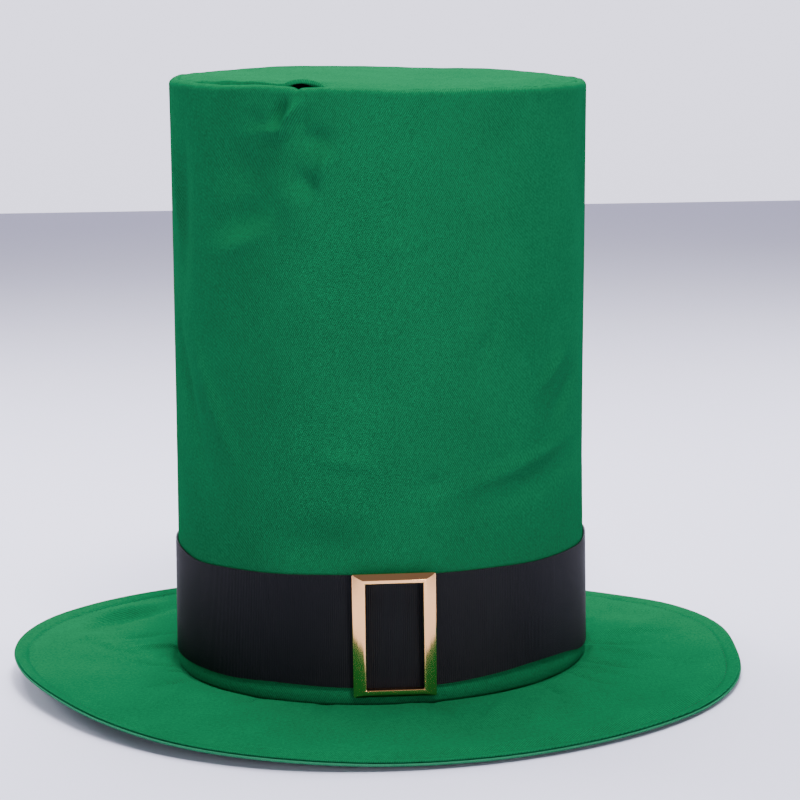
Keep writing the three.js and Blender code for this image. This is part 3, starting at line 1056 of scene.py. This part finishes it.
@dataclass
class Crown:
    """The tall crown: a tube closed at the back, and a round tip sewn inside its rim."""

    twill: bpy.types.Material
    cloth: float = 0.9
    columns: int = 330
    rows: int = 128
    rim_turn: float = 168.0
    rim_steps: int = 12
    foot_bulge: float = 0.7
    bulge_height: float = 4.2
    bulge_reach: float = 3.6
    foot_tuck: float = 0.9
    foot_tuck_reach: float = 1.4
    mouth_angle: float = 247.9
    mouth_reach: float = 11.6
    mouth_drop: float = 0.5
    tuck_reach: float = 1.3
    tuck_depth: float = 1.3
    tuck_shift: float = 0.4
    pinch_depth: float = 0.9
    pinch_reach: float = 5.0
    arch_rise: float = 2.9
    arch_skew: float = 2.2
    ripple: float = 0.25
    rim_rise: float = 1.2
    tip_rows: int = 54
    tip_turn: float = 128.0
    tip_inset: float = 0.15
    tip_cloth: float = 0.8

    def angles(self) -> np.ndarray:
        """Gives the grid's angles, closer together at the open seam and at the back seam."""
        spots = ((self.mouth_angle, 7.0, 4.0), (BACK, 1.6, 5.0))
        return spread_steps(WHOLE_TURN, self.columns + 1, spots)

    def mouth(self, angle: np.ndarray) -> np.ndarray:
        """Gives how far open the seam is: 1 in the middle of the gap and 0 past its ends."""
        sideways = np.radians(turn_to(self.mouth_angle, angle)) * FORM.base_radius
        return np.clip(1 - (sideways / self.mouth_reach) ** 2, 0.0, 1.0) ** 0.8

    def tuck(self, angle: np.ndarray) -> np.ndarray:
        """Gives the small pinched tuck in the side's edge below the gap."""
        place = self.mouth_angle + self.tuck_shift
        sideways = np.radians(turn_to(place, angle)) * FORM.base_radius
        return ridge(sideways, self.tuck_reach)

    def rim_waver(self, angle: np.ndarray) -> np.ndarray:
        """Gives the rim's small ups and downs from the gathered seam, and its rise by the gap."""
        turned = np.radians(angle)
        waves = 0.5 * np.sin(11 * turned + 0.7) + 0.3 * np.sin(23 * turned + 2.1)
        waves = waves + 0.3 * np.sin(37 * turned)
        return self.ripple * waves + self.rim_rise * bell(turn_to(self.mouth_angle - 1.0, angle), 18.0)

    def side_skin(self) -> tuple[np.ndarray, np.ndarray]:
        """Gives the tube's outer skin.

        Returns:
            Its points and its cloth coordinates.
        """
        angle = self.angles()[:, None]
        foot = FORM.seam_line(angle) + 0.05
        drop = self.mouth_drop * self.mouth(angle) + self.tuck_depth * self.tuck(angle)
        shoulder = FORM.rim_line(angle) - FORM.rim_roll + self.rim_waver(angle) - drop
        steps = spread_steps(1.0, self.rows, ((0.0, 0.02, 4.0), (1.0, 0.06, 2.5)))
        height = foot + (shoulder - foot) * steps[None, :]
        radius = FORM.crown_radius(angle, height)
        over = height - foot
        bulge = self.foot_bulge * bell(over - self.bulge_height, self.bulge_reach)
        tucked = self.foot_tuck * np.clip(1 - over / self.foot_tuck_reach, 0, 1) ** 2
        pinch = self.tuck(angle) * np.clip(1 - (shoulder - height) / self.pinch_reach, 0, 1)
        radius = radius + bulge - tucked - self.pinch_depth * pinch
        turned = np.radians(np.linspace(0, self.rim_turn, self.rim_steps + 1)[1:])[None, :]
        centre = radius[:, -1:] - FORM.rim_roll
        rim_radius = centre + FORM.rim_roll * np.cos(turned)
        rim_height = shoulder + FORM.rim_roll * np.sin(turned)
        radius = np.concatenate((radius, rim_radius), axis=1)
        height = np.concatenate((height, rim_height), axis=1)
        points = FORM.place(angle, radius, height)
        rolled = over[:, -1:] + FORM.rim_roll * turned * np.ones_like(shoulder)
        along = np.concatenate((over, rolled), axis=1)
        weave = np.stack(np.broadcast_arrays(np.radians(angle) * FORM.base_radius, along), axis=-1)
        return points[:-1], weave

    def tip_skin(self) -> tuple[np.ndarray, np.ndarray]:
        """Gives the round tip's outer skin, from the seam to its middle.

        Returns:
            Its points and its cloth coordinates.
        """
        angle = self.angles()[:, None]
        shoulder = FORM.rim_line(angle) - FORM.rim_roll + self.rim_waver(angle) * 0.6
        rolled = FORM.rim_roll * math.cos(math.radians(self.tip_turn))
        seam = FORM.crown_radius(angle, shoulder) - FORM.rim_roll + rolled - self.tip_inset
        stations = spread_steps(1.0, self.tip_rows, ((0.0, 0.05, 5.0),))[None, :]
        inward = stations * seam
        arch = self.arch_rise * self.mouth(angle - self.arch_skew) * self.mouth(angle) ** 0.2
        arch = arch * bell(inward, 9.0)
        step = 0.6 + 2.0 * bell(turn_to(232.0, angle), 20.0) + 0.5 * bell(turn_to(263.5, angle), 3.0)
        level = FORM.crown_height - FORM.tip_fall * np.cos(np.radians(angle)) * (1 - stations)
        dome = 1.9 * smooth_step(inward / 16.0) - 1.2 * smooth_step((inward - 16.0) / 76.0)
        turned = np.radians(angle)
        wave = 0.35 * np.sin(3 * turned + 1.1) + 0.3 * np.sin(5 * turned + 4.0) + 0.16 * np.sin(9 * turned)
        pulls = 0.22 * np.sin(31 * turned + 0.4) * bell(inward - 5.0, 6.0)
        waves = wave * smooth_step(inward / 20.0) * (1 - stations) + pulls
        edge = step * (smooth_step(inward / 1.1) - smooth_step((inward - 3.0) / 20.0))
        height = level - 0.5 + dome + edge + waves * (1 - self.mouth(angle)) + arch
        tucked = 1 - 0.9 * self.mouth(angle)
        lip = height[:, :1] - tucked * np.array([[3.2, 1.9, 0.7]])
        lip_radius = seam - tucked * np.array([[1.0, 0.42, 0.08]])
        radius = np.concatenate((lip_radius, seam * (1 - stations)), axis=1)
        height = np.concatenate((lip, height), axis=1)
        points = FORM.place(angle, radius, height)
        weave = np.stack((radius * np.cos(turned), radius * np.sin(turned)), axis=-1)
        return points[:-1], weave

    def build(self) -> None:
        """Makes the side and the tip."""
        points, weave = self.side_skin()
        side = ClothGrid("crown_side_cloth", points, weave, self.cloth).build()
        dress(side, self.twill, Slot.TWILL, "crown_side")
        points, weave = self.tip_skin()
        thinner = self.cloth * self.tip_cloth
        tip = ClothGrid("crown_tip_cloth", points, weave, thinner, poled=True).build()
        dress(tip, self.twill, Slot.TWILL, "crown_tip")


@dataclass
class HatBand:
    """The ribbed ribbon round the foot of the crown, its ends lapped at the back."""

    ribbon: bpy.types.Material
    thickness: float = 0.45
    lap_half_angle: float = 4.0
    lap_climb: float = 5.0
    stand_off: float = 0.8
    rib_pitch: float = 0.95
    rib_height: float = 0.12
    steps_per_rib: int = 4
    rows: int = 11

    def lift(self, run: np.ndarray) -> np.ndarray:
        """Gives how far the ribbon's outer face stands off the crown at some degrees from its start."""
        climbed = np.clip((run - (WHOLE_TURN - self.lap_climb)) / self.lap_climb, 0, 1)
        return FORM.seam_gap + self.stand_off + climbed * (self.stand_off + FORM.seam_gap)

    def build(self) -> None:
        """Makes the ribbon with its ribs."""
        length = WHOLE_TURN + 2 * self.lap_half_angle
        around_hat = 2 * math.pi * (FORM.base_radius + 1) * length / WHOLE_TURN
        count = round(around_hat / self.rib_pitch) * self.steps_per_rib + 1
        run = np.linspace(0, length, count)[:, None]
        angle = BACK - self.lap_half_angle + run
        share = np.linspace(0, 1, self.rows)[None, :]
        foot = around(BAND_EDGE, "foot", angle)
        head = around(BAND_EDGE, "head", angle)
        height = foot + (head - foot) * share
        phase = 2 * math.pi * np.arange(count)[:, None] / self.steps_per_rib
        ribs = self.rib_height * np.cos(phase)
        radius = FORM.crown_radius(angle, height) + self.lift(run)
        points = FORM.place(angle, radius + ribs, height)
        weave = np.stack(np.broadcast_arrays(np.radians(run) * FORM.base_radius, height), axis=-1)
        grid = ClothGrid("hat_band_ribbon", points, weave, self.thickness, closed=False)
        band = dress(grid.build(), self.ribbon, Slot.RIBBON, "hat_band")


class FrameRing(NamedTuple):
    """One ring of the buckle's section: how far in from its outer sides and ends, and how far forward."""

    side: float
    end: float
    forward: float


@dataclass
class Buckle:
    """The flat metal frame on the ribbon, with mitred corners and a bright inner lip."""

    metal: bpy.types.Material
    angle: float = 273.1
    middle: float = 39.8
    width: float = 36.8
    height: float = 56.4
    ribbon_face: float = 1.1
    stand_off: float = 0.3
    corner: float = 0.8
    tilt: float = 2.8
    edge: float = 0.16
    weld: float = 0.002
    upright: float = 0.001

    rings = (
        FrameRing(0.0, 0.0, 1.0),
        FrameRing(0.3, 0.2, 1.3),
        FrameRing(1.7, 1.05, 2.45),
        FrameRing(3.2, 1.75, 3.3),
        FrameRing(4.55, 2.35, 3.85),
        FrameRing(4.75, 3.0, 3.9),
        FrameRing(5.35, 3.75, 3.9),
        FrameRing(5.6, 4.0, 3.65),
        FrameRing(5.6, 4.0, 0.0),
    )

    def build(self) -> None:
        """Shapes the frame out of a plate, ring by ring, and sets it on the ribbon."""
        bpy.ops.object.select_all(action="DESELECT")
        bpy.ops.mesh.primitive_plane_add(size=1.0, rotation=(math.pi / 2, 0, 0))
        plate = bpy.context.object
        plate.name = "buckle_frame"
        plate.scale = (self.width * MM, self.height * MM, 1.0)
        bpy.ops.object.transform_apply(location=False, rotation=True, scale=True)
        bpy.ops.object.mode_set(mode="EDIT")
        bpy.ops.mesh.select_mode(type="FACE")
        bpy.ops.mesh.select_all(action="SELECT")
        wide, tall, forward = self.width, self.height, 0.0
        for ring in self.rings:
            new_wide = self.width - 2 * ring.side
            new_tall = self.height - 2 * ring.end
            bpy.ops.mesh.extrude_region_move(
                TRANSFORM_OT_translate={"value": (0, -(ring.forward - forward) * MM, 0)}
            )
            bpy.ops.transform.resize(
                value=(new_wide / wide, 1.0, new_tall / tall),
                center_override=(0, -ring.forward * MM, 0),
            )
            wide, tall, forward = new_wide, new_tall, ring.forward
        bpy.ops.mesh.delete(type="FACE")
        bpy.ops.object.mode_set(mode="OBJECT")
        for face in plate.data.polygons:
            face.select = abs(face.center.x) < MM and abs(face.center.z) < MM
        bpy.ops.object.mode_set(mode="EDIT")
        bpy.ops.mesh.delete(type="FACE")
        bpy.ops.mesh.select_mode(type="EDGE")
        bpy.ops.mesh.select_all(action="DESELECT")
        bpy.ops.mesh.select_non_manifold()
        bpy.ops.mesh.bridge_edge_loops()
        bpy.ops.mesh.select_all(action="SELECT")
        bpy.ops.mesh.remove_doubles(threshold=1e-7)
        bpy.ops.mesh.normals_make_consistent(inside=False)
        bpy.ops.object.mode_set(mode="OBJECT")
        self.round_corners(plate)
        soften = plate.modifiers.new("soften", "BEVEL")
        soften.width = self.edge * MM
        soften.segments = 2
        soften.limit_method = "ANGLE"
        soften.angle_limit = math.radians(24)
        weld = plate.modifiers.new("weld", "WELD")
        weld.merge_threshold = self.weld * MM
        apply_all(plate)
        bpy.ops.object.shade_smooth_by_angle(angle=math.radians(20))
        self.set_in_place(plate)
        dress(plate, self.metal, Slot.BUCKLE, "buckle")

    def round_corners(self, plate: bpy.types.Object) -> None:
        """Rounds the four corners of the opening and of the outline."""
        only(plate)
        bpy.ops.object.mode_set(mode="EDIT")
        bpy.ops.mesh.select_mode(type="EDGE")
        bpy.ops.mesh.select_all(action="DESELECT")
        bpy.ops.object.mode_set(mode="OBJECT")
        mesh = plate.data
        for line in mesh.edges:
            start, end = (mesh.vertices[at].co for at in line.vertices)
            line.select = math.hypot(start.x - end.x, start.z - end.z) < self.upright * MM
        bpy.ops.object.mode_set(mode="EDIT")
        bpy.ops.mesh.bevel(offset=self.corner * MM, segments=3, affect="EDGES", clamp_overlap=True)
        bpy.ops.object.mode_set(mode="OBJECT")

    def set_in_place(self, plate: bpy.types.Object) -> None:
        """Moves the finished frame onto the ribbon, turned to face outwards there."""
        ribbon = float(FORM.crown_radius(np.array(self.angle), np.array(self.middle)))
        leaned = math.sin(math.radians(self.tilt)) * self.height / 2
        radius = ribbon + self.ribbon_face + self.stand_off + leaned
        place = FORM.place(np.array(self.angle), np.array(radius), np.array(self.middle))
        turn = Matrix.Rotation(math.radians(self.angle - FRONT), 4, "Z")
        turn = turn @ Matrix.Rotation(math.radians(self.tilt), 4, "X")
        plate.data.transform(Matrix.Translation(Vector(place) * MM) @ turn)


@dataclass
class Studio:
    """The pale table, the backdrop, the soft lights and the camera."""

    table_back: float = 2.19
    sensor: float = 36.0
    focal: float = 2847 / 800 * sensor
    eye: tuple[float, float, float] = (0.00227, -1.3121, 0.349)
    yaw: float = 0.46
    pitch: float = 9.57
    roll: float = -0.90
    aim: tuple[float, float, float] = (0.0, 0.0, 0.1)

    def surface(self, name: str, code: str, roughness: float, **values: object) -> bpy.types.Material:
        """Makes a plain pale finish with a faint unevenness, and sets further shader values."""
        maker = MaterialMaker(name)
        cloudy = maker.noise(maker.object_coordinates(), size=0.4)
        maker.feed("Roughness", maker.range(cloudy, roughness - 0.05, roughness + 0.05))
        maker.set(Base_Color=linear(code), Specular_IOR_Level=0.2, **values)
        return maker.material

    def slab(
        self, name: str, size: tuple[float, float], place: tuple[float, float, float], tilt: float
    ) -> bpy.types.Object:
        """Adds a flat stage piece.

        Args:
            name: Its name.
            size: Its width and depth in metres.
            place: Its middle.
            tilt: Degrees that its far side is turned up.

        Returns:
            The stage piece.
        """
        bpy.ops.object.select_all(action="DESELECT")
        bpy.ops.mesh.primitive_plane_add(size=1.0, location=place, rotation=(math.radians(tilt), 0, 0))
        made = bpy.context.object
        made.name = name
        made.scale = (size[0], size[1], 1.0)
        bpy.ops.object.transform_apply(location=True, rotation=True, scale=True)
        return made

    def light(
        self,
        name: str,
        power: float,
        size: tuple[float, float],
        place: tuple[float, float, float],
        mirrored: bool = True,
    ) -> None:
        """Adds a soft light that looks at the hat.

        Args:
            name: Its name.
            power: Its power in watts.
            size: Its width and height in metres.
            place: Where it stands.
            mirrored: Whether shiny things show it.
        """
        bpy.ops.object.light_add(type="AREA", location=place)
        lamp = bpy.context.object
        lamp.name = name
        lamp.data.energy = power
        lamp.data.shape = "RECTANGLE"
        lamp.data.size, lamp.data.size_y = size
        lamp.visible_glossy = mirrored
        lamp.rotation_euler = (Vector(self.aim) - Vector(place)).to_track_quat("-Z", "Y").to_euler()

    def camera(self) -> None:
        """Sets the camera where the photograph was taken from."""
        yaw, pitch, roll = (math.radians(a) for a in (self.yaw, self.pitch, self.roll))
        forward = Vector(
            (math.sin(yaw) * math.cos(pitch), math.cos(yaw) * math.cos(pitch), -math.sin(pitch))
        )
        right = Vector((math.cos(yaw), -math.sin(yaw), 0))
        up = right.cross(forward)
        turned_right = right * math.cos(roll) + up * math.sin(roll)
        turned_up = up * math.cos(roll) - right * math.sin(roll)
        bpy.ops.object.camera_add()
        camera = bpy.context.object
        axes = Matrix((turned_right, turned_up, -forward)).transposed().to_4x4()
        camera.matrix_world = Matrix.Translation(self.eye) @ axes
        camera.data.lens = self.focal
        camera.data.sensor_width = self.sensor
        camera.data.clip_start = 0.05
        camera.data.clip_end = 50.0
        bpy.context.scene.camera = camera

    def build(self) -> None:
        """Makes the stage, the lights and the camera."""
        table = self.slab("table", (9.0, 4.0 + self.table_back), (0, self.table_back / 2 - 2.0, 0), 0)
        table.data.materials.append(self.surface("pale_table", "dbd9f0", 0.6))
        backdrop = self.slab("backdrop", (4.0, 3.4), (0, self.table_back + 1.4, 0.2), 90)
        glow = {"Emission_Color": linear("ebe8ff"), "Emission_Strength": 2.0}
        backdrop.data.materials.append(self.surface("pale_backdrop", "dedde6", 0.8, **glow))
        world = bpy.data.worlds.new("studio")
        world.use_nodes = True
        sky = world.node_tree.nodes["Background"]
        sky.inputs["Color"].default_value = linear("e6e4ff")
        sky.inputs["Strength"].default_value = 0.25
        bpy.context.scene.world = world
        self.light("top_softbox", 33, (1.2, 0.9), (-0.08, 0.4, 1.1), mirrored=False)
        self.light("top_key", 20, (0.3, 0.3), (0.12, -0.6, 1.2), mirrored=False)
        self.light("right_fill", 8, (0.25, 0.6), (0.6, -1.45, 0.3))
        self.light("left_fill", 4, (0.6, 0.6), (-1.1, -1.2, 0.4), mirrored=False)
        self.light("front_fill", 2, (0.5, 0.3), (-0.15, -1.7, 0.2), mirrored=False)
        self.light("back_right", 10, (0.4, 0.4), (1.0, 0.8, 0.55), mirrored=False)
        self.light("back_left", 12, (0.4, 0.4), (-1.0, 0.7, 0.55), mirrored=False)
        self.camera()


def main() -> None:
    """Builds the hat's pieces in order, dresses them and sets the studio."""
    logging.basicConfig(level=logging.INFO, format="%(name)s: %(message)s")
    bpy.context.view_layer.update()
    twill = TwillFinish().make()
    Brim(twill, ThreadFinish().make()).build()
    Crown(twill).build()
    HatBand(RibbonFinish().make()).build()
    Buckle(MetalFinish().make()).build()
    Studio().build()


if __name__ == "__main__":
    main()
